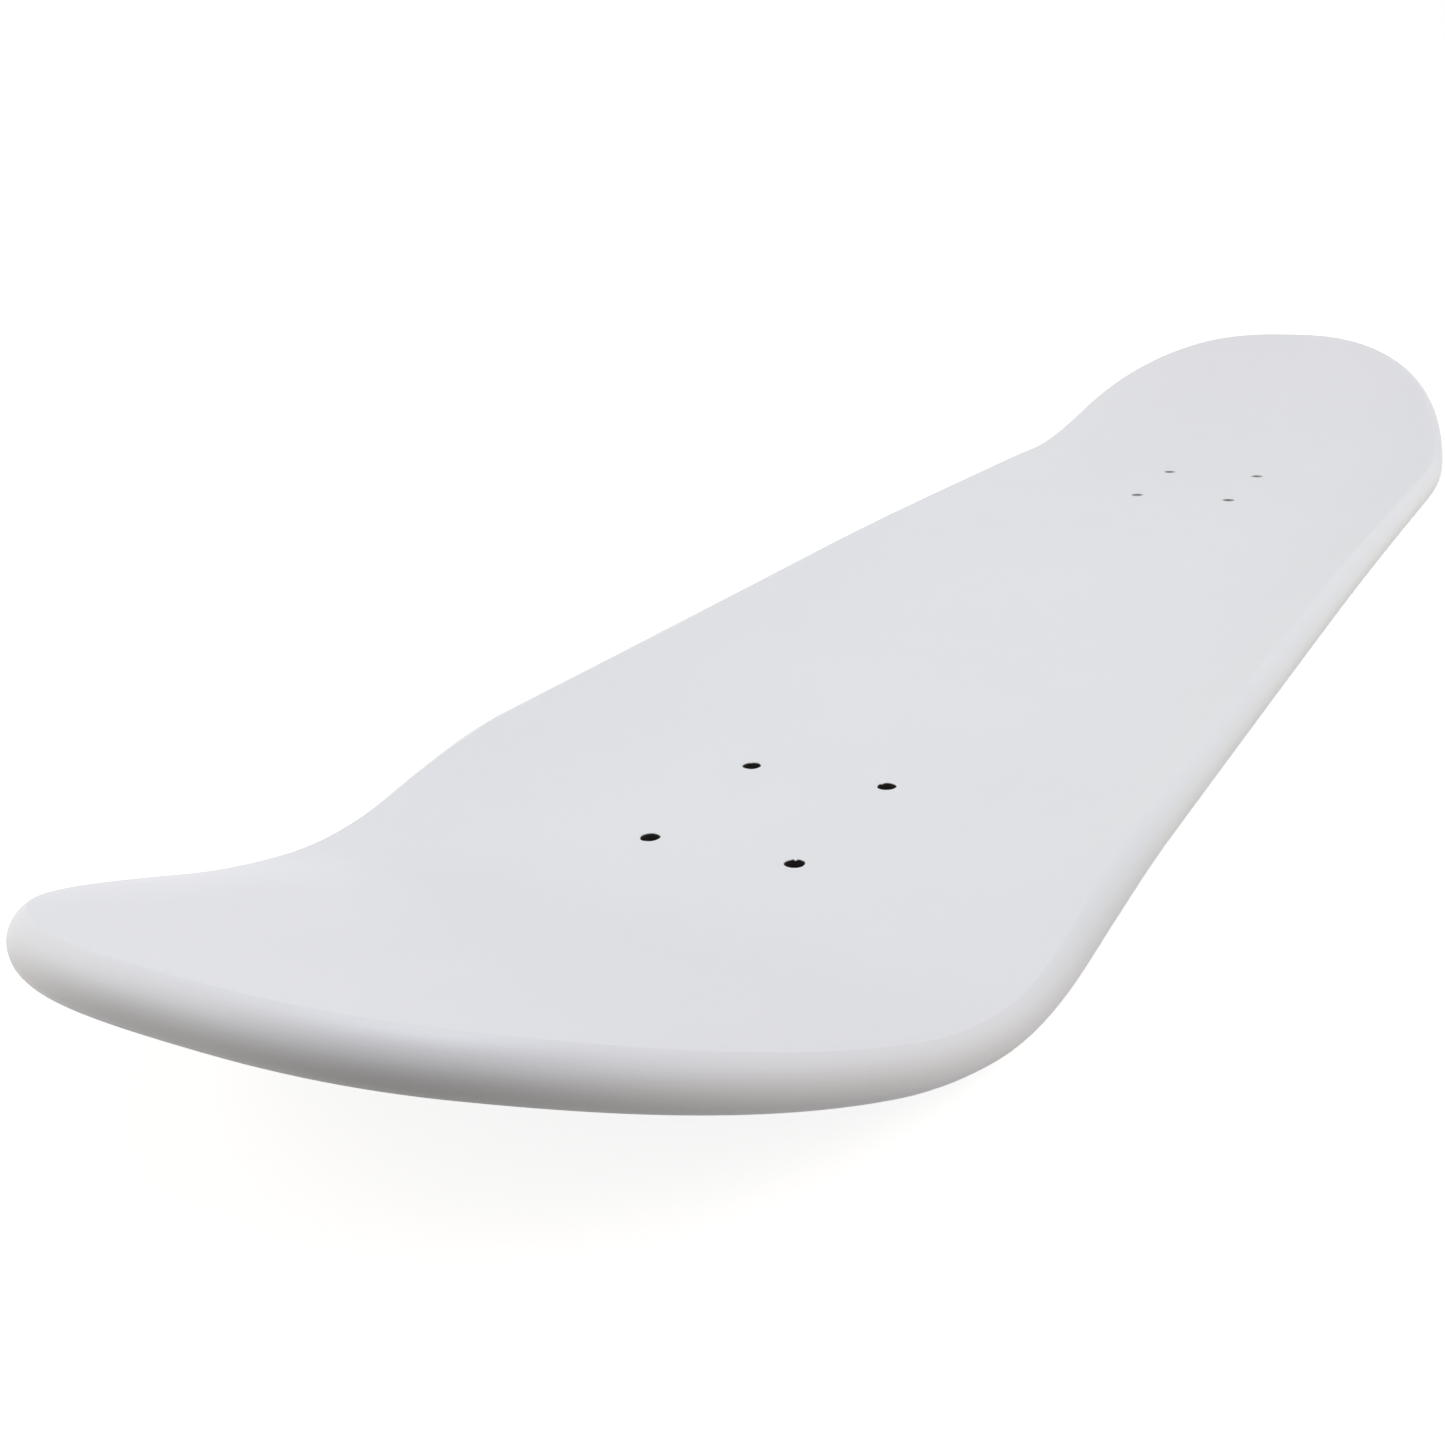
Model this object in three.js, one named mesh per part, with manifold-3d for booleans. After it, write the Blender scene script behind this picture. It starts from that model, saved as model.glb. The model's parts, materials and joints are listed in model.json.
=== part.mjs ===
// Bare skateboard deck, drilled for two trucks: seven pressed maple veneers inside one coat of white paint.
// Millimetres. +X runs to the nose, +Y to the left side and +Z up, out of the face that is stood on.
// The origin lies on the underside, midway between the two bolt patterns.
//
// The board is laid out as a flat blank and then pressed. A point of the blank has a station (its distance
// along the board from the origin), an offset (its distance across from the centre line) and a depth below
// the top face.
import * as THREE from "three";
import { mergeVertices } from "three/addons/utils/BufferGeometryUtils.js";
import Module from "manifold-3d";

const wasm = await Module();
wasm.setup();

// Layers, from the top face down
const veneerThickness = 1.36;
const paintThickness = 0.25;
const layerClearance = 0.1; // the glue line between two veneers, and the primer under the paint
const veneers = [
  { name: "top_face_veneer", grain: "long" },
  { name: "upper_core_veneer", grain: "long" },
  { name: "upper_crossband_veneer", grain: "cross" },
  { name: "centre_core_veneer", grain: "long" },
  { name: "lower_crossband_veneer", grain: "cross" },
  { name: "lower_core_veneer", grain: "long" },
  { name: "bottom_face_veneer", grain: "long" },
];
const layerPitch = veneerThickness + layerClearance;
const laminateThickness = veneers.length * layerPitch - layerClearance;
const laminateInset = paintThickness + layerClearance; // from the painted skin to the wood
const deckThickness = laminateThickness + 2 * laminateInset;

// Bolt patterns
const wheelbase = 368.3; // between the inner bolt rows of the two trucks
const boltRowSpacing = 53.975; // along the board, within one pattern
const boltSpacingAcross = 41.275;
const boltHoleDiameter = 5.2;
const innerRowStation = wheelbase / 2;
const outerRowStation = innerRowStation + boltRowSpacing;

// Outline of the blank
const deckWidth = 196; // across the blank; pressing tilts the sides out to about 201 overall
const waistLoss = 0.85; // by which each side is drawn in halfway along

// The rim is one round about the mid-plane of the board, which a smaller round, the shoulder, eases into
// either face. The shoulder begins at shoulderAngle above the mid-plane.
const edgeRadius = 6.5;
const shoulderRadius = 0.9;
const rimRadius = Math.max(edgeRadius, deckThickness / 2);
const shoulderRise = deckThickness / 2 - shoulderRadius; // from the mid-plane to the shoulder's axis
const shoulderReach = rimRadius - shoulderRadius; // from the rim's axis to the shoulder's
const shoulderAngle = Math.asin(shoulderRise / shoulderReach);

// The two ends. Beyond the outer bolt row the board lies flat for bendGap, bends up through bendDegrees on
// bendRadius, and runs straight for kickLength to the tip. The sides begin to round in roundLength before the
// tip, on a superellipse with the two exponents. The concave of the middle fades to kickLift from fadeLead
// before the bend to fadeTrail after it.
const nose = {
  bendGap: 13,
  bendRadius: 122,
  bendDegrees: 19.5,
  kickLength: 125,
  roundLength: 153,
  alongExponent: 2.53,
  acrossExponent: 2.58,
  fadeLead: 56.4,
  fadeTrail: 34,
  kickLift: -5.9,
};
const tail = {
  bendGap: 11.5,
  bendRadius: 143.4,
  bendDegrees: 26.15,
  kickLength: 77.75,
  roundLength: 174,
  alongExponent: 2.51,
  acrossExponent: 2.54,
  fadeLead: 240,
  fadeTrail: 37,
  kickLift: 5.2,
};

// Concave of the middle: flat between the bolts and past them, then curving up to the sides
const flatHalfWidth = 46.8;
const concaveLift = 12.4;

// Fineness of the facets
const rimSteps = 2; // facets in the round of the rim, above its mid-plane
const shoulderSteps = 1; // facets in each shoulder
const curveSteps = 3; // strips between the flat middle and either side
const leadSteps = 3; // rows from the start of the fade to the bend
const bendSteps = 4; // rows around the bend
const roundWidthShares = [0.97, 0.9, 0.8, 0.66, 0.5, 0.3, 0.15, 0]; // where rows cross a rounded end
const flatShare = 0.6; // the most of a narrow row that its flat strip takes
const boreSides = 12;
const cutOverrun = 2; // by which a bore's cutter stands out of each face
const probeShare = 0.1;
const probe = probeShare * paintThickness; // half the span over which the slope of the face is read

const noseEnd = laidOut(nose, 1);
const tailEnd = laidOut(tail, -1);
const rows = [...rowsOf(tailEnd).reverse(), ...rowsOf(noseEnd)];

// An end with its stations worked out, as distances from the origin
function laidOut(end, direction) {
  const bendAngle = THREE.MathUtils.degToRad(end.bendDegrees);
  const bendStart = outerRowStation + end.bendGap;
  const bendEnd = bendStart + end.bendRadius * bendAngle;
  const tip = bendEnd + end.kickLength;
  return {
    ...end,
    direction,
    bendAngle,
    bendStart,
    bendEnd,
    tip,
    roundStart: tip - end.roundLength,
    fadeStart: bendStart - end.fadeLead,
    fadeEnd: bendEnd + end.fadeTrail,
  };
}

// Half the width of the blank, at a distance along one end
function halfWidthAt(end, distance) {
  if (distance < end.roundStart) {
    return deckWidth / 2 - waistLoss * (1 - (distance / end.roundStart) ** 2);
  }
  const along = Math.min((distance - end.roundStart) / end.roundLength, 1);
  return (deckWidth / 2) * (1 - along ** end.alongExponent) ** (1 / end.acrossExponent);
}

// The distance at which an end has narrowed to a share of the full width
function distanceOfWidth(end, widthShare) {
  const along = (1 - widthShare ** end.acrossExponent) ** (1 / end.alongExponent);
  return end.roundStart + end.roundLength * along;
}

// The direction that the left-hand outline faces: x along the board and y across it
function outlineFacing(end, distance) {
  const along = Math.max(distance - end.roundStart, 0) / end.roundLength;
  const across = halfWidthAt(end, distance) / (deckWidth / 2);
  const facing = new THREE.Vector2(
    (end.alongExponent * along ** (end.alongExponent - 1)) / end.roundLength,
    (end.acrossExponent * across ** (end.acrossExponent - 1)) / (deckWidth / 2),
  );
  facing.x *= end.direction;
  return facing.normalize();
}

// Evenly spaced values from the first up to, but not at, the last
function spaced(first, last, count) {
  return Array.from({ length: count }, (_, i) => THREE.MathUtils.lerp(first, last, i / count));
}

// The rows that cross one end of the blank, from the middle of the board out to the tip
function rowsOf(end) {
  const distances = [
    ...spaced(end.fadeStart, end.bendStart, leadSteps),
    ...spaced(end.bendStart, end.bendEnd, bendSteps),
    end.bendEnd,
    ...roundWidthShares.map((share) => distanceOfWidth(end, share)),
  ];
  distances.sort((a, b) => a - b);
  return distances.map((distance) => ({
    station: end.direction * distance,
    halfWidth: halfWidthAt(end, distance),
    facing: outlineFacing(end, distance),
  }));
}

// How far the centre line of the top face has reached and climbed, and how steeply it climbs there
function centreLine(end, distance) {
  const climb = THREE.MathUtils.clamp((distance - end.bendStart) / end.bendRadius, 0, end.bendAngle);
  const ramp = Math.max(distance - end.bendEnd, 0);
  return {
    reach: Math.min(distance, end.bendStart) + end.bendRadius * Math.sin(climb) + ramp * Math.cos(climb),
    rise: end.bendRadius * (1 - Math.cos(climb)) + ramp * Math.sin(climb),
    climb,
  };
}

// How far the face has curved up from its flat middle
function liftAt(end, distance, offset) {
  const faded = THREE.MathUtils.smoothstep(distance, end.fadeStart, end.fadeEnd);
  const fullLift = THREE.MathUtils.lerp(concaveLift, end.kickLift, faded);
  const curved = Math.max(Math.abs(offset) - flatHalfWidth, 0) / (deckWidth / 2 - flatHalfWidth);
  return fullLift * curved ** 2;
}

function topFace(station, offset) {
  const end = station < 0 ? tailEnd : noseEnd;
  const distance = Math.abs(station);
  const line = centreLine(end, distance);
  const lift = liftAt(end, distance, offset);
  return new THREE.Vector3(
    end.direction * (line.reach - lift * Math.sin(line.climb)),
    offset,
    deckThickness + line.rise + lift * Math.cos(line.climb),
  );
}

// Where a point of the flat blank lies in the pressed board
function pressed(station, offset, depth) {
  const along = topFace(station + probe, offset).sub(topFace(station - probe, offset));
  const across = topFace(station, offset + probe).sub(topFace(station, offset - probe));
  const up = along.cross(across).normalize();
  return topFace(station, offset).addScaledVector(up, -depth);
}

// The offsets at which the strips of a row meet, from the right-hand side to the left
function offsetsAcross(halfWidth) {
  const flat = Math.min(flatHalfWidth, flatShare * halfWidth);
  const left = [...spaced(flat, halfWidth, curveSteps), halfWidth];
  const right = left.map((offset) => -offset).reverse();
  return [...right, ...left];
}

// A ring of the rim, at an angle of a round whose axis lies at an inset and a rise above the mid-plane: how
// far the ring is drawn in from the outline of the blank, and how deep it lies
function ringOn(axisInset, axisRise, radius, angle) {
  return {
    inset: axisInset - radius * Math.cos(angle),
    depth: deckThickness / 2 - axisRise - radius * Math.sin(angle),
  };
}

// The rings of the rim of a skin that lies skinDepth inside the painted one, from its top to its bottom
function rimRings(skinDepth) {
  const shoulderInset = rimRadius - shoulderReach * Math.cos(shoulderAngle);
  const onShoulder = spaced(Math.PI / 2, shoulderAngle, shoulderSteps);
  const onRound = spaced(shoulderAngle, 0, rimSteps);
  const upper = [
    ...onShoulder.map((angle) => ringOn(shoulderInset, shoulderRise, shoulderRadius - skinDepth, angle)),
    ...onRound.map((angle) => ringOn(rimRadius, 0, rimRadius - skinDepth, angle)),
  ];
  const lower = upper.map(({ inset, depth }) => ({ inset, depth: deckThickness - depth })).reverse();
  return [...upper, ringOn(rimRadius, 0, rimRadius - skinDepth, 0), ...lower];
}

// The ring of a rim at any depth, on the facets between its own rings
function ringAt(rings, depth) {
  const next = Math.max(rings.findIndex((ring) => ring.depth >= depth), 1);
  const above = rings[next - 1];
  const below = rings[next];
  const share = (depth - above.depth) / (below.depth - above.depth);
  return { inset: THREE.MathUtils.lerp(above.inset, below.inset, share), depth };
}

// The rings of a slice of a rim, between two depths
function ringsBetween(rings, top, bottom) {
  const inner = rings.filter((ring) => ring.depth > top && ring.depth < bottom);
  return [ringAt(rings, top), ...inner, ringAt(rings, bottom)];
}

// A grid of pressed points that fills one ring, row by row from the tail tip to the nose tip
function gridOf(ring) {
  return rows.map((row) => {
    const station = row.station - ring.inset * row.facing.x;
    const halfWidth = row.halfWidth - ring.inset * row.facing.y;
    return offsetsAcross(halfWidth).map((offset) => pressed(station, offset, ring.depth));
  });
}

// The two facets of a quad, split the other way on the mirrored side of the board
function facetsOf([a, b, c, d], mirrored) {
  return mirrored ? [b, c, d, b, d, a] : [a, b, c, a, c, d];
}

// One facetted quad of a grid, between a row and the next and a column and the next
function capFacets(grid, row, column) {
  const [here, ahead] = [grid[row], grid[row + 1]];
  const mirrored = column < (here.length - 1) / 2;
  return facetsOf([here[column], ahead[column], ahead[column + 1], here[column + 1]], mirrored);
}

// One facetted quad of the wall between two grids, along one of their columns
function wallFacets(upper, lower, row, column) {
  const quad = [upper[row][column], upper[row + 1][column], lower[row + 1][column], lower[row][column]];
  return facetsOf(quad, true);
}

// A closed solid from its rings, top to bottom: a cap on the first and on the last, and walls in between
function pressedSolid(rings) {
  const grids = rings.map(gridOf);
  const bottom = grids[grids.length - 1];
  const lastColumn = bottom[0].length - 1;
  const corners = [];
  for (let row = 0; row + 1 < rows.length; row++) {
    for (let column = 0; column < lastColumn; column++) {
      corners.push(...capFacets(grids[0], row, column));
      corners.push(...capFacets(bottom, row, column).reverse());
    }
    for (let level = 0; level + 1 < grids.length; level++) {
      corners.push(...wallFacets(grids[level], grids[level + 1], row, lastColumn));
      corners.push(...wallFacets(grids[level], grids[level + 1], row, 0).reverse());
    }
  }
  return toSolid(new THREE.BufferGeometry().setFromPoints(corners));
}

// The bores of the eight truck bolts, as one cutter
function boltBores() {
  const cutterRadius = boltHoleDiameter / 2 / Math.cos(Math.PI / boreSides);
  const cutterHeight = deckThickness + 2 * cutOverrun;
  const cutters = [];
  for (const station of [-outerRowStation, -innerRowStation, innerRowStation, outerRowStation]) {
    for (const offset of [-boltSpacingAcross / 2, boltSpacingAcross / 2]) {
      const cutter = new THREE.CylinderGeometry(cutterRadius, cutterRadius, cutterHeight, boreSides);
      cutter.rotateX(Math.PI / 2);
      cutter.translate(station, offset, deckThickness / 2);
      cutters.push(toSolid(cutter));
    }
  }
  return cutters.reduce((joined, cutter) => joined.add(cutter));
}

// The paint: a thin shell over both faces and the rim, open at the bolt bores
function paintCoat(bores) {
  const outside = pressedSolid(rimRings(0));
  const inside = pressedSolid(rimRings(paintThickness));
  return outside.subtract(inside).subtract(bores);
}

// One veneer of the laminate, counted from the top
function veneerSolid(index, bores) {
  const top = laminateInset + index * layerPitch;
  const rings = ringsBetween(rimRings(laminateInset), top, top + veneerThickness);
  return pressedSolid(rings).subtract(bores);
}

// A solid from a closed mesh, without the facets that shrink to nothing where the rows meet at a tip
function toSolid(geometry) {
  geometry.deleteAttribute("normal");
  geometry.deleteAttribute("uv");
  const merged = mergeVertices(geometry);
  const triVerts = [];
  for (let i = 0; i < merged.index.count; i += 3) {
    const [a, b, c] = merged.index.array.slice(i, i + 3);
    if (a !== b && b !== c && c !== a) triVerts.push(a, b, c);
  }
  return new wasm.Manifold(
    new wasm.Mesh({
      numProp: 3,
      vertProperties: merged.attributes.position.array,
      triVerts: Uint32Array.from(triVerts),
    }),
  );
}

function toMesh(name, solid, material) {
  const { vertProperties, triVerts } = solid.getMesh();
  const geometry = new THREE.BufferGeometry();
  geometry.setAttribute("position", new THREE.BufferAttribute(vertProperties, 3));
  geometry.setIndex(new THREE.BufferAttribute(triVerts, 1));
  geometry.computeVertexNormals();
  const mesh = new THREE.Mesh(geometry, material);
  mesh.name = name;
  return mesh;
}

const whitePaint = new THREE.MeshStandardMaterial({ color: 0xe4e7ea, roughness: 0.45, metalness: 0 });
const mapleColours = { long: 0xdcc09a, cross: 0xc9a271 };

const bores = boltBores();
const deck = new THREE.Group();
deck.name = "skateboard_deck";
deck.add(toMesh("white_paint_coat", paintCoat(bores), whitePaint));
veneers.forEach(({ name, grain }, index) => {
  const maple = new THREE.MeshStandardMaterial({ color: mapleColours[grain], roughness: 0.7, metalness: 0 });
  deck.add(toMesh(name, veneerSolid(index, bores), maple));
});

export default deck;
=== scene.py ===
# Bare skateboard deck on a plain white floor: a smooth coat of white paint over seven pressed maple veneers.
# Metres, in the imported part's frame: +X runs to the nose, +Y to the left side, +Z out of the face stood on.
#
# Every piece is modelled on the flat blank and then pressed, as the real board is. A point of the blank has a
# station (its distance along the board from the middle), an offset (its distance across from the centre line)
# and a height above the underside.
import json
import math
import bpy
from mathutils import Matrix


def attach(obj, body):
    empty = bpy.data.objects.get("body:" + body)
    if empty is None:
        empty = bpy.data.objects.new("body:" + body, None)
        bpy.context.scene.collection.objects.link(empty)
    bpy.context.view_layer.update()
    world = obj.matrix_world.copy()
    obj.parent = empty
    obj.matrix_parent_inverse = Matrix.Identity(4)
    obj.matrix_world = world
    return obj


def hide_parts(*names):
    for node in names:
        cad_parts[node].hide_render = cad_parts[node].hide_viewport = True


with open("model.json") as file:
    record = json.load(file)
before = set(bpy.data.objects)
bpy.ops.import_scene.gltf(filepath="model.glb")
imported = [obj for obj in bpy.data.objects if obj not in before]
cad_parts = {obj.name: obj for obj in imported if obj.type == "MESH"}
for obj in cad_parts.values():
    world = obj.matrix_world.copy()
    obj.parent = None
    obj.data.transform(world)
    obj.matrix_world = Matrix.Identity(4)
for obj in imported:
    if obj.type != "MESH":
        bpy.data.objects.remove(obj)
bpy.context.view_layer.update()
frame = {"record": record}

from types import SimpleNamespace

import bmesh
import bpy
import numpy as np
from mathutils import Matrix, Vector

MM = 0.001
MOUNTS = {mount["name"]: mount["pos_m"] for mount in frame["record"]["mounts"]}

# Layers, from the top face down
VENEERS = (
    "top_face_veneer",
    "upper_core_veneer",
    "upper_crossband_veneer",
    "centre_core_veneer",
    "lower_crossband_veneer",
    "lower_core_veneer",
    "bottom_face_veneer",
)
DECK_THICKNESS = MOUNTS["top_centre"][2] - MOUNTS["underside_centre"][2]
VENEER_THICKNESS = 1.36 * MM
PAINT_THICKNESS = 0.25 * MM
LAYER_CLEARANCE = 0.1 * MM
LAYER_PITCH = VENEER_THICKNESS + LAYER_CLEARANCE
LAMINATE_INSET = PAINT_THICKNESS + LAYER_CLEARANCE

# Bolt patterns
TRUCK_PAD_STATION = MOUNTS["front_truck_pad"][0]
BOLT_ROW_SPACING = 53.975 * MM
BOLT_SPACING_ACROSS = 41.275 * MM
BORE_RADIUS = 5.2 * MM / 2
INNER_ROW_STATION = TRUCK_PAD_STATION - BOLT_ROW_SPACING / 2
OUTER_ROW_STATION = TRUCK_PAD_STATION + BOLT_ROW_SPACING / 2

# Outline of the blank, and the concave of its middle
HALF_DECK_WIDTH = 196 * MM / 2
WAIST_LOSS = 0.85 * MM
FLAT_HALF_WIDTH = 46.8 * MM
CONCAVE_LIFT = 12.4 * MM

# The rim: one round about the mid-plane of the board, which a smaller round, the shoulder, eases into either
# face. The shoulder begins at SHOULDER_ANGLE above the mid-plane.
RIM_RADIUS = 6.5 * MM
SHOULDER_RADIUS = 0.9 * MM
SHOULDER_RISE = DECK_THICKNESS / 2 - SHOULDER_RADIUS  # from the mid-plane to the shoulder's axis
SHOULDER_REACH = RIM_RADIUS - SHOULDER_RADIUS  # from the rim's axis to the shoulder's
SHOULDER_ANGLE = math.asin(SHOULDER_RISE / SHOULDER_REACH)
RIM_SETBACK = 0.25 * MM  # keeps the smooth rim inside the faceted one of the frame

# The two ends: a superellipse in outline, a bend and a straight kick in profile
NOSE = SimpleNamespace(
    direction=1,
    bend_gap=13 * MM,
    bend_radius=122 * MM,
    bend_degrees=19.5,
    kick_length=125 * MM,
    round_length=153 * MM,
    along_exponent=2.53,
    across_exponent=2.58,
    fade_lead=56.4 * MM,
    fade_trail=34 * MM,
    kick_lift=-5.9 * MM,
)
TAIL = SimpleNamespace(
    direction=-1,
    bend_gap=11.5 * MM,
    bend_radius=143.4 * MM,
    bend_degrees=26.15,
    kick_length=77.75 * MM,
    round_length=174 * MM,
    along_exponent=2.51,
    across_exponent=2.54,
    fade_lead=240 * MM,
    fade_trail=37 * MM,
    kick_lift=5.2 * MM,
)

# Fineness of the meshes
MESH_PITCH = 4 * MM
TIP_ROWS = 60
NARROW_FLAT_SHARE = 0.6  # the most of a narrow row that its flat strip takes
RIM_STEPS = 6  # in the round of the rim, above its mid-plane
SHOULDER_STEPS = 3
BORE_MARGIN = 6 * MM  # from a bore's axis to the grid around it
BORE_CUTS = 5  # in each grid edge beside a bore, so that the bore comes out round
LIP_STEPS = 3
PROBE = 0.05 * MM  # half the span over which the slope of the face is read
WELD_DISTANCE = 0.001 * MM
CAP_WELD_DISTANCE = 0.1 * MM  # between the open edges of two caps, whose grids differ a little at a bore
SHARP_DEGREES = 40

# The edge of the paint at a bore: it rolls over a small lip, waves a little, and has crept into three of the
# bores at the nose. A creep is its bore's station and offset, its bearing, how far it reaches and its width.
LIP_RADIUS = 0.15 * MM
EDGE_WAVES = ((3, 0.05 * MM), (5, 0.03 * MM), (11, 0.015 * MM))  # waves around the bore, and their height
PAINT_CREEPS = (
    (INNER_ROW_STATION, BOLT_SPACING_ACROSS / 2, 236, 0.6 * MM, 0.5 * MM),
    (OUTER_ROW_STATION, BOLT_SPACING_ACROSS / 2, 200, 1 * MM, 0.4 * MM),
    (INNER_ROW_STATION, -BOLT_SPACING_ACROSS / 2, 214, 0.25 * MM, 0.5 * MM),
)

# Finishes. Patterns are scaled by their count per metre, along the grain and across it where they are long.
# A pair is the lowest and the highest, or the palest and the deepest, that a pattern gives.
PAINT_COLOUR = (0.76, 0.78, 0.8, 1)
# painted light: the kicks' faintly pinker white stands in for the light that falls on them
KICK_PAINTED_LIGHT_COLOUR = (0.76, 0.766, 0.798, 1)
KICK_PAINTED_LIGHT_FADE = (0.18, 0.36)  # stations between which the one shades into the other
PAINT_PATCHES = 14
PAINT_PATCH_SHARE = 0.012
PAINT_ROUGHNESS = (0.38, 0.5)
PAINT_DULL_PATCHES = 35
PEEL_BUMPS = 700
PEEL_HEIGHT = 0.012 * MM
GRAIN_IN_PAINT = (9, 420, 420)
GRAIN_IN_PAINT_HEIGHT = 0.008 * MM
GLUE_LINE_SHARE = 0.12  # of the pitch of the veneers, to each side of a line
GLUE_LINE_DEPTH = 0.006 * MM

LONG_GRAIN_COLOURS = ((0.78, 0.6, 0.39, 1), (0.6, 0.4, 0.23, 1))
CROSS_GRAIN_COLOURS = ((0.64, 0.43, 0.24, 1), (0.46, 0.28, 0.14, 1))
MAPLE_PATCHES = 9
MAPLE_PATCH_SHARE = 0.08
MAPLE_ROUGHNESS = (0.5, 0.66)
MAPLE_DULL_PATCHES = 60
FIGURE_DRIFT = (2.2, 14, 14)
FIGURE_BANDS = 16
FIGURE_SHARE = 0.55
FIBRES = (30, 1400, 1400)
FIBRE_SHARE = 0.4
PORES = (110, 2600, 2600)
PORE_THRESHOLD = (0.64, 0.74)
PORE_SHARE = 0.5
MAPLE_RELIEF = 0.03 * MM

BORE_SHADE_DEPTH = 0.3 * MM  # into the wood around a bore
# painted shade: the walls of the bores are nearly black, for the dark inside them
BORE_SHADE_COLOURS = ((0.006, 0.006, 0.006, 1), (0.026, 0.022, 0.02, 1))
BORE_WALL_ROUGHNESS = 0.75
BORE_WALL_SPECKS = 900
SPRAY_COLOUR = (0.68, 0.68, 0.69, 1)
SPRAY_DEPTH_NOSE = 0.2 * MM
SPRAY_DEPTH_TAIL = 1.5 * MM
SPRAY_RAGGEDNESS = (0.7, 1.3)  # in shares of its depth
SPRAY_SOLID_SHARE = 0.6  # of its depth, above which the spray hides the wood

# Studio
CAMERA_PLACE = (0.567018, 0.197255, 0.180169)
CAMERA_HEADING = 210.62  # degrees anticlockwise from +X, seen from above
CAMERA_PITCH = -19.516
CAMERA_ROLL = -3.199
FOCAL_LENGTH = 41.981
SENSOR_WIDTH = 36
FLOOR_HALF_SIZE = 30
FLOOR_DROP = 0.3 * MM
FLOOR_SHADED = 0.4  # the part of the floor's white that a shadow takes away
FLOOR_GLOW = 0.85  # and the part that it leaves
FLOOR_FADE = (0.8, 2.5)  # from the board: how far off the glow starts to rise to full white, and gets there
FLOOR_GREY = (0.3, 0.28, 0.26, 1)
SKY_STRENGTH = 0.12
SOFTBOXES = {  # where each stands, its size, its power, its colour, and whether it shows in reflections
    "overhead": ((0.35, 0, 2.1), 1.2, 16.3, (0.92, 1, 1.14), True),
    "left": ((-0.5, 2.2, 1.25), 2.2, 42.4, (1.06, 1, 0.94), False),
    "right": ((1.1, -2, 1.1), 2, 35.7, (1.07, 1, 0.89), False),
}


# The pressed shape

def lay_out(end):
    """Works out the stations of an end, as distances from the middle of the board."""
    end.bend_angle = math.radians(end.bend_degrees)
    end.bend_start = OUTER_ROW_STATION + end.bend_gap
    end.bend_end = end.bend_start + end.bend_radius * end.bend_angle
    end.tip = end.bend_end + end.kick_length
    end.round_start = end.tip - end.round_length
    end.fade_start = end.bend_start - end.fade_lead
    end.fade_end = end.bend_end + end.fade_trail


def half_width_at(end, distance):
    if distance < end.round_start:
        return HALF_DECK_WIDTH - WAIST_LOSS * (1 - (distance / end.round_start) ** 2)
    along = min((distance - end.round_start) / end.round_length, 1)
    return HALF_DECK_WIDTH * (1 - along**end.along_exponent) ** (1 / end.across_exponent)


def outline_facing(end, distance):
    """The direction that the left-hand side of the outline faces."""
    along = max(distance - end.round_start, 0) / end.round_length
    across = half_width_at(end, distance) / HALF_DECK_WIDTH
    facing = Vector((
        end.direction * end.along_exponent * along ** (end.along_exponent - 1) / end.round_length,
        end.across_exponent * across ** (end.across_exponent - 1) / HALF_DECK_WIDTH,
    ))
    return facing.normalized()


def top_face(end, distance, offset):
    """Points of the top face, for arrays of distances out along one end and of offsets."""
    climb = np.clip((distance - end.bend_start) / end.bend_radius, 0, end.bend_angle)
    ramp = np.maximum(distance - end.bend_end, 0)
    reach = np.minimum(distance, end.bend_start) + end.bend_radius * np.sin(climb) + ramp * np.cos(climb)
    rise = end.bend_radius * (1 - np.cos(climb)) + ramp * np.sin(climb)
    share = np.clip((distance - end.fade_start) / (end.fade_end - end.fade_start), 0, 1)
    faded = share**2 * (3 - 2 * share)
    full_lift = CONCAVE_LIFT + (end.kick_lift - CONCAVE_LIFT) * faded
    curved = np.maximum(np.abs(offset) - FLAT_HALF_WIDTH, 0) / (HALF_DECK_WIDTH - FLAT_HALF_WIDTH)
    lift = full_lift * curved**2
    x = end.direction * (reach - lift * np.sin(climb))
    z = DECK_THICKNESS + rise + lift * np.cos(climb)
    return np.stack((x, offset, z), axis=1)


def pressed(end, flat):
    """Where points of the flat blank lie in the pressed board."""
    distance = flat[:, 0] * end.direction
    offset = flat[:, 1]
    depth = DECK_THICKNESS - flat[:, 2]
    along = top_face(end, distance + PROBE, offset) - top_face(end, distance - PROBE, offset)
    across = top_face(end, distance, offset + PROBE) - top_face(end, distance, offset - PROBE)
    up = np.cross(along, across) * end.direction
    up /= np.linalg.norm(up, axis=1, keepdims=True)
    return top_face(end, distance, offset) - up * depth[:, None]


def press(mesh):
    """Bends a mesh of the flat blank into the shape of the board, and keeps where each vertex was for the
    materials."""
    flat = np.empty(len(mesh.vertices) * 3, np.float32)
    mesh.vertices.foreach_get("co", flat)
    mesh.attributes.new("on_blank", "FLOAT_VECTOR", "POINT").data.foreach_set("vector", flat)
    flat = flat.reshape(-1, 3).astype(float)
    in_tail = flat[:, 0] < 0
    points = np.empty_like(flat)
    points[in_tail] = pressed(TAIL, flat[in_tail])
    points[~in_tail] = pressed(NOSE, flat[~in_tail])
    mesh.vertices.foreach_set("co", points.astype(np.float32).ravel())
    mesh.update()


# The grid that every face of the blank is made on

def spaced(first, last, count):
    """Evenly spaced values from the first up to, but not at, the last."""
    return [first + (last - first) * i / count for i in range(count)]


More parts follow.
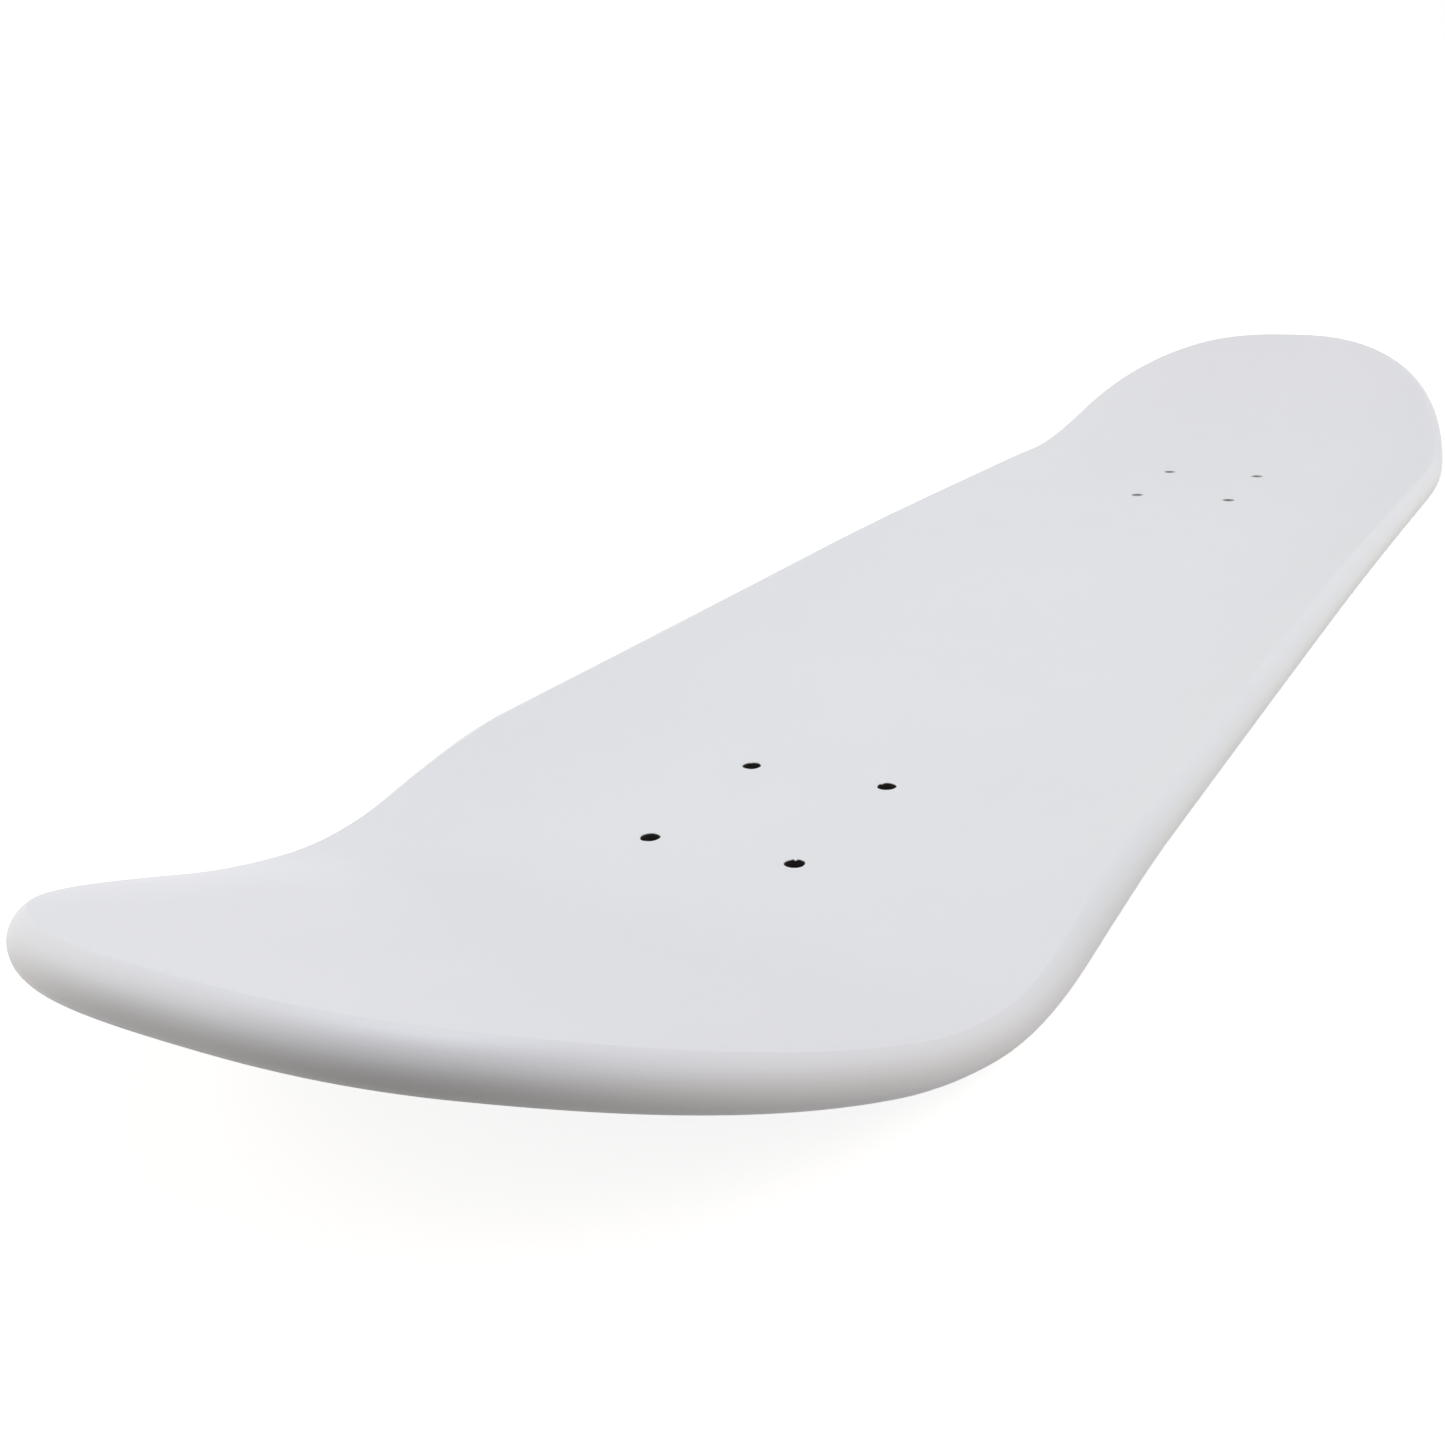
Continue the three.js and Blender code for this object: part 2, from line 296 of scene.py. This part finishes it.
def spaced_through(places):
    """Values about MESH_PITCH apart that pass through each place, up to but not at the last."""
    values = []
    for first, last in zip(places, places[1:]):
        values += spaced(first, last, max(round((last - first) / MESH_PITCH), 1))
    return values


def row_at(end, distance):
    half_width = half_width_at(end, distance)
    return SimpleNamespace(
        station=end.direction * distance,
        half_width=half_width,
        facing=outline_facing(end, distance),
    )


def rows_of(end):
    """The rows of vertices across one end of the blank, from the middle of the board out to the tip."""
    bores = (INNER_ROW_STATION, OUTER_ROW_STATION)
    sides = [bore + side for bore in bores for side in (-BORE_MARGIN, BORE_MARGIN)]
    last_side = sides[-1]
    turns = spaced(0, math.pi / 2, TIP_ROWS) + [math.pi / 2]
    outer = [last_side + (end.tip - last_side) * math.sin(turn) for turn in turns]
    return [row_at(end, distance) for distance in spaced_through([0, *sides]) + outer]


def columns_of_blank():
    """The offsets of the columns of vertices, where the blank is at its widest."""
    bore = BOLT_SPACING_ACROSS / 2
    places = [0, bore - BORE_MARGIN, bore + BORE_MARGIN, FLAT_HALF_WIDTH, HALF_DECK_WIDTH]
    left = spaced_through(places) + [HALF_DECK_WIDTH]
    return [-offset for offset in reversed(left[1:])] + left


def ring_on(axis_inset, axis_rise, radius, angle):
    """A ring of the rim, at an angle of a round whose axis lies at an inset and a rise above the mid-plane:
    how far the ring is drawn in from the outline of the blank, and its height."""
    return SimpleNamespace(
        inset=RIM_SETBACK + axis_inset - radius * math.cos(angle),
        height=DECK_THICKNESS / 2 + axis_rise + radius * math.sin(angle),
    )


def rim_rings(skin_depth):
    """The rings of the rim of a skin that lies skin_depth inside the painted one, from the top down."""
    shoulder_inset = RIM_RADIUS - SHOULDER_REACH * math.cos(SHOULDER_ANGLE)
    upper = [
        ring_on(shoulder_inset, SHOULDER_RISE, SHOULDER_RADIUS - skin_depth, angle)
        for angle in spaced(math.pi / 2, SHOULDER_ANGLE, SHOULDER_STEPS)
    ]
    upper += [
        ring_on(RIM_RADIUS, 0, RIM_RADIUS - skin_depth, angle)
        for angle in spaced(SHOULDER_ANGLE, 0, RIM_STEPS)
    ]
    lower = [
        SimpleNamespace(inset=ring.inset, height=DECK_THICKNESS - ring.height)
        for ring in reversed(upper)
    ]
    return upper + [ring_on(RIM_RADIUS, 0, RIM_RADIUS - skin_depth, 0)] + lower


def ring_at(rings, height):
    """The ring of a rim at any height."""
    heights = [ring.height for ring in reversed(rings)]
    insets = [ring.inset for ring in reversed(rings)]
    return SimpleNamespace(inset=float(np.interp(height, heights, insets)), height=height)


def rings_between(rings, top, bottom):
    """The rings of the slice of a rim between two heights, from the top down."""
    inner = [ring for ring in rings if bottom < ring.height < top]
    return [ring_at(rings, top), *inner, ring_at(rings, bottom)]


# Modelling on the flat blank

def grid_index(coordinate, count):
    """Which line of a grid from -1 to 1 a vertex is on."""
    return round((coordinate + 1) / 2 * (count - 1))


def lay_on_blank(vert, ring, facing_layer):
    """Moves a vertex of a square grid to its place on the blank, drawn in to one ring of the rim."""
    row = ROWS[grid_index(vert.co.x, len(ROWS))]
    column = COLUMNS[grid_index(vert.co.y, len(COLUMNS))]
    side = math.copysign(1, column)
    half_width = row.half_width - ring.inset * row.facing.y
    flat = min(FLAT_HALF_WIDTH, NARROW_FLAT_SHARE * half_width)
    reach = np.interp(abs(column), (0, FLAT_HALF_WIDTH, HALF_DECK_WIDTH), (0, flat, half_width))
    vert.co = (row.station - ring.inset * row.facing.x, side * reach, ring.height)
    vert[facing_layer] = (row.facing.x, side * row.facing.y, 0)


def beside_bore(point):
    """Whether a point lies in the square of grid around a bore."""
    along = abs(abs(abs(point.x) - TRUCK_PAD_STATION) - BOLT_ROW_SPACING / 2)
    across = abs(abs(point.y) - BOLT_SPACING_ACROSS / 2)
    return max(along, across) < BORE_MARGIN


def edges_of(items):
    return [item for item in items if isinstance(item, bmesh.types.BMEdge)]


def loops_by_bore(edges):
    """The open edges around each bore, among some edges."""
    loops = [[] for _ in BORES]
    for edge in edges:
        if edge.is_boundary:
            middle = (edge.verts[0].co + edge.verts[1].co).xy / 2
            distances = [(middle - bore).length for bore in BORES]
            if min(distances) < 2 * BORE_MARGIN:
                loops[distances.index(min(distances))].append(edge)
    return loops


def extruded(blank, edges):
    """Extrudes a loop of edges in place, and returns its new edges and vertices."""
    made = bmesh.ops.extrude_edge_only(blank, edges=edges)["geom"]
    verts = {item for item in made if isinstance(item, bmesh.types.BMVert)}
    return [edge for edge in edges_of(made) if verts.issuperset(edge.verts)], verts


def add_cap(blank, ring, bore_steps):
    """Adds a face of the blank, drawn in to one ring of the rim, and returns its outline. The face is open at
    the bores: the grid beside one is joined to a round edge, which then follows the steps, each a radius and
    a height."""
    grid = bmesh.ops.create_grid(blank, x_segments=len(ROWS) - 1, y_segments=len(COLUMNS) - 1, size=1)
    facing_layer = blank.verts.layers.float_vector["facing"]
    for vert in grid["verts"]:
        lay_on_blank(vert, ring, facing_layer)
    bmesh.ops.remove_doubles(blank, verts=grid["verts"], dist=WELD_DISTANCE)
    verts = [vert for vert in grid["verts"] if vert.is_valid]
    faces = {face for vert in verts for face in vert.link_faces}
    cut = [face for face in faces if beside_bore(face.calc_center_median())]
    bmesh.ops.delete(blank, geom=cut, context="FACES")
    rims = {edge for vert in verts if vert.is_valid for edge in vert.link_edges if edge.is_boundary}
    squares = [edge for loop in loops_by_bore(rims) for edge in loop]
    outline = list(rims.difference(squares))
    split = bmesh.ops.subdivide_edges(blank, edges=squares, cuts=BORE_CUTS)["geom_split"]
    for bore, square in zip(BORES, loops_by_bore(edges_of(split))):
        open_bore(blank, bore, square, bore_steps)
    return outline


def open_bore(blank, bore, edges, steps):
    """Draws the open edges around a bore in to its round edge, and takes them through its steps."""
    for radius, height in steps:
        edges, verts = extruded(blank, edges)
        for vert in verts:
            place = bore + (vert.co.xy - bore).normalized() * radius
            vert.co = (*place, height)


def weld_open_edges(blank):
    """Joins the open edges that meet."""
    verts = {vert for edge in blank.edges if edge.is_boundary for vert in edge.verts}
    bmesh.ops.remove_doubles(blank, verts=list(verts), dist=CAP_WELD_DISTANCE)


def add_slab(blank, rings, top_steps, bottom_steps):
    """Adds a skin of the blank from its rings, top to bottom: a cap on the first and on the last, and the rim
    between them."""
    facing_layer = blank.verts.layers.float_vector["facing"]
    edges = add_cap(blank, rings[0], top_steps)
    for ring, next_ring in zip(rings, rings[1:]):
        edges, verts = extruded(blank, edges)
        for vert in verts:
            outward = vert[facing_layer] * (ring.inset - next_ring.inset)
            vert.co = (vert.co.x + outward.x, vert.co.y + outward.y, next_ring.height)
    add_cap(blank, rings[-1], bottom_steps)
    weld_open_edges(blank)


def new_blank():
    blank = bmesh.new()
    blank.verts.layers.float_vector.new("facing")
    return blank


def veneer_blank(index):
    """One veneer, counted from the top, with its eight bores."""
    top = DECK_THICKNESS - LAMINATE_INSET - index * LAYER_PITCH
    bottom = top - VENEER_THICKNESS
    blank = new_blank()
    rings = rings_between(rim_rings(LAMINATE_INSET), top, bottom)
    add_slab(blank, rings, [(BORE_RADIUS, top), (BORE_RADIUS, bottom)], [(BORE_RADIUS, bottom)])
    return blank


def lip_steps(outer_height, inner_height):
    """The paint's edge at a bore: over a small round lip, and down to the underside of the film."""
    inward = math.copysign(LIP_RADIUS, inner_height - outer_height)
    steps = []
    for angle in spaced(0, math.pi / 2, LIP_STEPS) + [math.pi / 2]:
        radius = BORE_RADIUS + LIP_RADIUS * (1 - math.sin(angle))
        steps.append((radius, outer_height + inward * (1 - math.cos(angle))))
    return [*steps, (BORE_RADIUS, inner_height)]


def paint_blank():
    """The film of paint: an outer and an inner skin, joined at the edges of the sixteen openings."""
    blank = new_blank()
    inner_top = DECK_THICKNESS - PAINT_THICKNESS
    inner_bottom = PAINT_THICKNESS
    add_slab(blank, rim_rings(0), lip_steps(DECK_THICKNESS, inner_top), lip_steps(0, inner_bottom))
    add_slab(blank, rim_rings(PAINT_THICKNESS), [(BORE_RADIUS, inner_top)], [(BORE_RADIUS, inner_bottom)])
    weld_open_edges(blank)
    for vert in blank.verts:
        if beside_bore(vert.co) and vert.co.z > DECK_THICKNESS / 2:
            creep(vert)
    return blank


def creep(vert):
    """Draws a vertex of the paint in or out, where it is on the round edge of a bore."""
    bore = min(BORES, key=lambda place: (vert.co.xy - place).length)
    out = vert.co.xy - bore
    if out.length > BORE_RADIUS + LIP_RADIUS + WELD_DISTANCE:
        return
    bearing = math.atan2(out.y, out.x)
    phase = bore.x / BOLT_ROW_SPACING + bore.y / BOLT_SPACING_ACROSS
    inward = sum(height * math.sin(count * (bearing + phase)) for count, height in EDGE_WAVES)
    for station, offset, degrees, reach, width in PAINT_CREEPS:
        if (bore - Vector((station, offset))).length < BORE_MARGIN:
            turn = math.remainder(bearing - math.radians(degrees), 2 * math.pi)
            inward += reach * math.exp(-2 * (turn * BORE_RADIUS / width) ** 2)
    vert.co.xy -= out.normalized() * inward


def finished_piece(name, blank, material):
    """Turns a flat blank into a pressed, smooth object."""
    bmesh.ops.recalc_face_normals(blank, faces=blank.faces)
    for face in blank.faces:
        face.smooth = True
    for edge in blank.edges:
        edge.smooth = edge.calc_face_angle(0) < math.radians(SHARP_DEGREES)
    blank.verts.layers.float_vector.remove(blank.verts.layers.float_vector["facing"])
    mesh = bpy.data.meshes.new(name)
    blank.to_mesh(mesh)
    blank.free()
    press(mesh)
    mesh.materials.append(material)
    piece = bpy.data.objects.new(name, mesh)
    bpy.context.scene.collection.objects.link(piece)
    return piece


# The board's own rows, columns and bores

lay_out(NOSE)
lay_out(TAIL)
ROWS = rows_of(TAIL)[:0:-1] + rows_of(NOSE)
COLUMNS = columns_of_blank()
BORES = [
    Vector((station, offset))
    for station in (-OUTER_ROW_STATION, -INNER_ROW_STATION, INNER_ROW_STATION, OUTER_ROW_STATION)
    for offset in (-BOLT_SPACING_ACROSS / 2, BOLT_SPACING_ACROSS / 2)
]


# Building blocks of the materials

def add_node(tree, kind, inputs=None, **settings):
    """Adds a node to a tree. Each input is given a value, or the socket that feeds it."""
    node = tree.nodes.new(kind)
    for setting, value in settings.items():
        setattr(node, setting, value)
    for name, value in (inputs or {}).items():
        if isinstance(value, bpy.types.NodeSocket):
            tree.links.new(value, node.inputs[name])
        else:
            node.inputs[name].default_value = value
    return node


def maths(tree, operation, *values):
    return add_node(tree, "ShaderNodeMath", dict(enumerate(values)), operation=operation).outputs[0]


def scaled(tree, vector, factors):
    return add_node(tree, "ShaderNodeVectorMath", {0: vector, 1: factors}, operation="MULTIPLY").outputs[0]


def mixed(tree, share, first, second):
    """A colour between two others."""
    return add_node(tree, "ShaderNodeMix", {0: share, 6: first, 7: second}, data_type="RGBA").outputs[2]


def mixed_number(tree, share, first, second):
    return add_node(tree, "ShaderNodeMix", {0: share, 2: first, 3: second}).outputs[0]


def rising(tree, value, low, high):
    """Climbs smoothly from 0 to 1 as the value goes from low to high. It falls where low is the higher."""
    inputs = {"Value": value, "From Min": low, "From Max": high}
    return add_node(tree, "ShaderNodeMapRange", inputs, interpolation_type="SMOOTHSTEP").outputs[0]


def between(tree, value, low, high):
    """Turns a value from 0 to 1 into one from low to high."""
    return add_node(tree, "ShaderNodeMapRange", {"Value": value, "To Min": low, "To Max": high}).outputs[0]


def noise(tree, place, scale=1, detail=2):
    inputs = {"Vector": place, "Scale": scale, "Detail": detail}
    return add_node(tree, "ShaderNodeTexNoise", inputs).outputs[0]


def bump(tree, height, distance, under=None):
    """Raises a surface by a distance where the height is 1, on top of another bump."""
    inputs = {"Height": height, "Distance": distance}
    if under:
        inputs["Normal"] = under
    return add_node(tree, "ShaderNodeBump", inputs).outputs["Normal"]


def on_blank(tree):
    """The place on the flat blank, which a pattern follows up the bends."""
    return add_node(tree, "ShaderNodeAttribute", attribute_name="on_blank").outputs["Vector"]


def in_space(tree):
    return add_node(tree, "ShaderNodeTexCoord").outputs["Object"]


def new_group(name, inputs, outputs):
    """Starts a group of nodes, and returns it with its inner sockets. An input is given its kind and value,
    and an output its kind."""
    group = bpy.data.node_groups.new(name, "ShaderNodeTree")
    for label, (kind, value) in inputs.items():
        group.interface.new_socket(label, in_out="INPUT", socket_type=kind).default_value = value
    for label, kind in outputs.items():
        group.interface.new_socket(label, in_out="OUTPUT", socket_type=kind)
    return group, add_node(group, "NodeGroupInput").outputs, add_node(group, "NodeGroupOutput").inputs


def new_material(name):
    """Starts a material, and returns its tree and its plain surface shader."""
    material = bpy.data.materials.new(name)
    material.use_nodes = True
    return material, material.node_tree, material.node_tree.nodes["Principled BSDF"]


# Effects that the materials share

def soft_mottle():
    """Makes a colour a little lighter and darker in soft patches."""
    group, given, made = new_group(
        "soft_mottle",
        {
            "Place": ("NodeSocketVector", (0, 0, 0)),
            "Colour": ("NodeSocketColor", (1, 1, 1, 1)),
            "Patches": ("NodeSocketFloat", 1),
            "Share": ("NodeSocketFloat", 0),
        },
        {"Colour": "NodeSocketColor"},
    )
    patches = noise(group, given["Place"], given["Patches"], detail=3)
    swing = maths(group, "MULTIPLY_ADD", patches, 2, -1)
    factor = maths(group, "MULTIPLY_ADD", swing, given["Share"], 1)
    shaded = add_node(group, "ShaderNodeVectorMath", {0: given["Colour"], "Scale": factor}, operation="SCALE")
    group.links.new(shaded.outputs["Vector"], made["Colour"])
    return group


def maple_figure():
    """Sliced maple with its grain along X: soft bands of figure, fine fibres and short dark pores."""
    group, given, made = new_group(
        "maple_figure",
        {
            "Grain": ("NodeSocketVector", (0, 0, 0)),
            "Pale": ("NodeSocketColor", (1, 1, 1, 1)),
            "Deep": ("NodeSocketColor", (0, 0, 0, 1)),
        },
        {"Colour": "NodeSocketColor", "Height": "NodeSocketFloat"},
    )
    drift = noise(group, scaled(group, given["Grain"], FIGURE_DRIFT), detail=3)
    bands = maths(group, "PINGPONG", maths(group, "MULTIPLY", drift, FIGURE_BANDS), 1)
    fibres = noise(group, scaled(group, given["Grain"], FIBRES), detail=4)
    pores = rising(group, noise(group, scaled(group, given["Grain"], PORES)), *PORE_THRESHOLD)
    figured = maths(group, "MULTIPLY", bands, FIGURE_SHARE)
    depth = maths(group, "MULTIPLY_ADD", fibres, FIBRE_SHARE, figured)
    wood = mixed(group, depth, given["Pale"], given["Deep"])
    pored = mixed(group, maths(group, "MULTIPLY", pores, PORE_SHARE), wood, given["Deep"])
    group.links.new(pored, made["Colour"])
    group.links.new(maths(group, "SUBTRACT", fibres, pores), made["Height"])
    return group


def bolt_bores():
    """The walls of the bolt bores, painted nearly black: a painted shade for the dark inside them. Spray has
    settled on the top of them, and has gone deeper in the four bores under the tail."""
    group, given, made = new_group(
        "bolt_bores",
        {
            "Place": ("NodeSocketVector", (0, 0, 0)),
            "Colour": ("NodeSocketColor", (1, 1, 1, 1)),
            "Roughness": ("NodeSocketFloat", 1),
        },
        {"Colour": "NodeSocketColor", "Roughness": "NodeSocketFloat"},
    )
    place = add_node(group, "ShaderNodeSeparateXYZ", {0: given["Place"]}).outputs
    from_pad = maths(group, "SUBTRACT", maths(group, "ABSOLUTE", place["X"]), TRUCK_PAD_STATION)
    along = maths(group, "SUBTRACT", maths(group, "ABSOLUTE", from_pad), BOLT_ROW_SPACING / 2)
    across = maths(group, "SUBTRACT", maths(group, "ABSOLUTE", place["Y"]), BOLT_SPACING_ACROSS / 2)
    squares = [maths(group, "MULTIPLY", distance, distance) for distance in (along, across)]
    from_axis = maths(group, "SQRT", maths(group, "ADD", *squares))
    wall = rising(group, from_axis, BORE_RADIUS + BORE_SHADE_DEPTH, BORE_RADIUS)
    specks = noise(group, given["Place"], BORE_WALL_SPECKS, detail=3)
    in_nose = rising(group, place["X"], 0, MM)
    spray_depth = mixed_number(group, in_nose, SPRAY_DEPTH_TAIL, SPRAY_DEPTH_NOSE)
    reach = maths(group, "MULTIPLY", spray_depth, between(group, specks, *SPRAY_RAGGEDNESS))
    depth = maths(group, "SUBTRACT", DECK_THICKNESS, place["Z"])
    sprayed = rising(group, depth, reach, maths(group, "MULTIPLY", reach, SPRAY_SOLID_SHARE))
    # painted shade: nearly black walls below the spray
    inside = mixed(group, sprayed, mixed(group, specks, *BORE_SHADE_COLOURS), SPRAY_COLOUR)
    group.links.new(mixed(group, wall, given["Colour"], inside), made["Colour"])
    group.links.new(mixed_number(group, wall, given["Roughness"], BORE_WALL_ROUGHNESS), made["Roughness"])
    return group


# Materials

def white_paint(mottle):
    """Satin white paint: a faint orange peel, the grain of the face veneer just telling under it along the
    board, and the glue lines of the plies just telling round the rim. The kicks are painted a faintly pinker
    white, a painted tint of the light that falls on them."""
    material, tree, shader = new_material("satin_white_paint")
    flat = on_blank(tree)
    place = add_node(tree, "ShaderNodeSeparateXYZ", {0: flat}).outputs
    # painted light: a faintly pinker white on the kicks, for the light that falls on them
    painted_kick_light = rising(tree, maths(tree, "ABSOLUTE", place["X"]), *KICK_PAINTED_LIGHT_FADE)
    tone = add_node(tree, "ShaderNodeGroup", {
        "Place": flat,
        "Colour": mixed(tree, painted_kick_light, PAINT_COLOUR, KICK_PAINTED_LIGHT_COLOUR),
        "Patches": PAINT_PATCHES,
        "Share": PAINT_PATCH_SHARE,
    }, node_tree=mottle)
    tree.links.new(tone.outputs["Colour"], shader.inputs["Base Color"])
    dullness = noise(tree, flat, PAINT_DULL_PATCHES, detail=4)
    tree.links.new(between(tree, dullness, *PAINT_ROUGHNESS), shader.inputs["Roughness"])

    grain = noise(tree, scaled(tree, flat, GRAIN_IN_PAINT), detail=3)
    depth = maths(tree, "SUBTRACT", DECK_THICKNESS - PAINT_THICKNESS, place["Z"])
    from_glue = maths(tree, "PINGPONG", maths(tree, "DIVIDE", depth, LAYER_PITCH), 0.5)
    glue_line = rising(tree, from_glue, GLUE_LINE_SHARE, 0)
    peel = noise(tree, flat, PEEL_BUMPS, detail=1)
    normal = bump(tree, grain, GRAIN_IN_PAINT_HEIGHT)
    normal = bump(tree, glue_line, -GLUE_LINE_DEPTH, under=normal)
    normal = bump(tree, peel, PEEL_HEIGHT, under=normal)
    tree.links.new(normal, shader.inputs["Normal"])
    return material


def maple(name, turned, pale, deep, mottle, figure, bores):
    """Bare sliced maple. Its grain runs along the board, or across it where it is turned."""
    material, tree, shader = new_material(name)
    flat = on_blank(tree)
    angle = math.pi / 2 if turned else 0
    grain = add_node(tree, "ShaderNodeMapping", {"Vector": flat, "Rotation": (0, 0, angle)}).outputs[0]
    wood = add_node(tree, "ShaderNodeGroup", {"Grain": grain, "Pale": pale, "Deep": deep}, node_tree=figure)
    toned = add_node(tree, "ShaderNodeGroup", {
        "Place": flat,
        "Colour": wood.outputs["Colour"],
        "Patches": MAPLE_PATCHES,
        "Share": MAPLE_PATCH_SHARE,
    }, node_tree=mottle)
    drilled = add_node(tree, "ShaderNodeGroup", {
        "Place": flat,
        "Colour": toned.outputs["Colour"],
        "Roughness": between(tree, noise(tree, grain, MAPLE_DULL_PATCHES), *MAPLE_ROUGHNESS),
    }, node_tree=bores)
    tree.links.new(drilled.outputs["Colour"], shader.inputs["Base Color"])
    tree.links.new(drilled.outputs["Roughness"], shader.inputs["Roughness"])
    tree.links.new(bump(tree, wood.outputs["Height"], MAPLE_RELIEF), shader.inputs["Normal"])
    return material


def shown_as_backdrop(tree):
    """1 for the rays that see the backdrop: straight, mirrored or through glass."""
    rays = add_node(tree, "ShaderNodeLightPath").outputs
    seen = maths(tree, "MAXIMUM", rays["Is Camera Ray"], rays["Is Glossy Ray"])
    return maths(tree, "MAXIMUM", seen, rays["Is Transmission Ray"])


def floor_material():
    """White where it is looked at, with the board's shadow on it, and grey in the light that it throws back.
    From below it is clear, so that the underside can be looked at."""
    material = bpy.data.materials.new("studio_floor")
    material.use_nodes = True
    tree = material.node_tree
    tree.nodes.clear()
    white = add_node(tree, "ShaderNodeBsdfDiffuse", {"Color": (FLOOR_SHADED, FLOOR_SHADED, FLOOR_SHADED, 1)})
    distance = add_node(tree, "ShaderNodeVectorMath", {0: in_space(tree)}, operation="LENGTH")
    far_off = rising(tree, distance.outputs["Value"], *FLOOR_FADE)
    strength = mixed_number(tree, far_off, FLOOR_GLOW, 1)
    glow = add_node(tree, "ShaderNodeEmission", {"Color": (1, 1, 1, 1), "Strength": strength})
    seen = add_node(tree, "ShaderNodeAddShader", {0: white.outputs[0], 1: glow.outputs[0]})
    grey = add_node(tree, "ShaderNodeBsdfDiffuse", {"Color": FLOOR_GREY})
    shown = shown_as_backdrop(tree)
    top = add_node(tree, "ShaderNodeMixShader", {0: shown, 1: grey.outputs[0], 2: seen.outputs[0]})
    clear = add_node(tree, "ShaderNodeBsdfTransparent")
    below = add_node(tree, "ShaderNodeNewGeometry").outputs["Backfacing"]
    either = add_node(tree, "ShaderNodeMixShader", {0: below, 1: top.outputs[0], 2: clear.outputs[0]})
    add_node(tree, "ShaderNodeOutputMaterial", {"Surface": either.outputs[0]})
    return material


# Studio

def add_floor():
    ground = bmesh.new()
    bmesh.ops.create_grid(ground, x_segments=1, y_segments=1, size=FLOOR_HALF_SIZE)
    bmesh.ops.translate(ground, verts=ground.verts, vec=(0, 0, -FLOOR_DROP))
    mesh = bpy.data.meshes.new("studio_floor")
    ground.to_mesh(mesh)
    ground.free()
    mesh.materials.append(floor_material())
    floor = bpy.data.objects.new("studio_floor", mesh)
    bpy.context.scene.collection.objects.link(floor)


def light_world():
    """An even sky: white where it is looked at, and much dimmer in the light that it throws on the board."""
    world = bpy.data.worlds.new("studio_sky")
    bpy.context.scene.world = world
    world.use_nodes = True
    tree = world.node_tree
    strength = mixed_number(tree, shown_as_backdrop(tree), SKY_STRENGTH, 1)
    tree.links.new(strength, tree.nodes["Background"].inputs["Strength"])
    tree.nodes["Background"].inputs["Color"].default_value = (1, 1, 1, 1)


def add_softbox(name, place, size, power, colour, mirrored):
    """A square lamp that faces the middle of the board."""
    lamp = bpy.data.lights.new(name, "AREA")
    lamp.size = size
    lamp.energy = power
    lamp.color = colour
    softbox = bpy.data.objects.new(name, lamp)
    softbox.location = place
    softbox.rotation_euler = (-Vector(place)).to_track_quat("-Z", "Y").to_euler()
    softbox.visible_camera = False
    softbox.visible_glossy = mirrored
    bpy.context.scene.collection.objects.link(softbox)


def add_camera():
    view = bpy.data.cameras.new("photo_camera")
    view.sensor_width = SENSOR_WIDTH
    view.lens = FOCAL_LENGTH
    camera = bpy.data.objects.new("photo_camera", view)
    turn = Matrix.Rotation(math.radians(CAMERA_HEADING - 90), 4, "Z")
    tilt = Matrix.Rotation(math.radians(90 + CAMERA_PITCH), 4, "X")
    roll = Matrix.Rotation(math.radians(CAMERA_ROLL), 4, "Z")
    camera.matrix_world = Matrix.Translation(CAMERA_PLACE) @ turn @ tilt @ roll
    bpy.context.scene.collection.objects.link(camera)
    bpy.context.scene.camera = camera


# The board

def add_piece(name, node, blank, material):
    piece = finished_piece(name, blank, material)
    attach(piece, "root")
    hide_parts(node)


def add_board():
    mottle = soft_mottle()
    figure = maple_figure()
    bores = bolt_bores()
    wood = {
        "long_grain_maple": maple("long_grain_maple", False, *LONG_GRAIN_COLOURS, mottle, figure, bores),
        "cross_grain_maple": maple("cross_grain_maple", True, *CROSS_GRAIN_COLOURS, mottle, figure, bores),
    }
    add_piece("smooth_white_paint", "white_paint_coat", paint_blank(), white_paint(mottle))
    for index, node in enumerate(VENEERS):
        slot = "cross_grain_maple" if "crossband" in node else "long_grain_maple"
        add_piece("smooth_" + node, node, veneer_blank(index), wood[slot])


add_camera()
add_board()
add_floor()
light_world()
for name, settings in SOFTBOXES.items():
    add_softbox(name + "_softbox", *settings)
bpy.context.scene.view_settings.view_transform = "Standard"
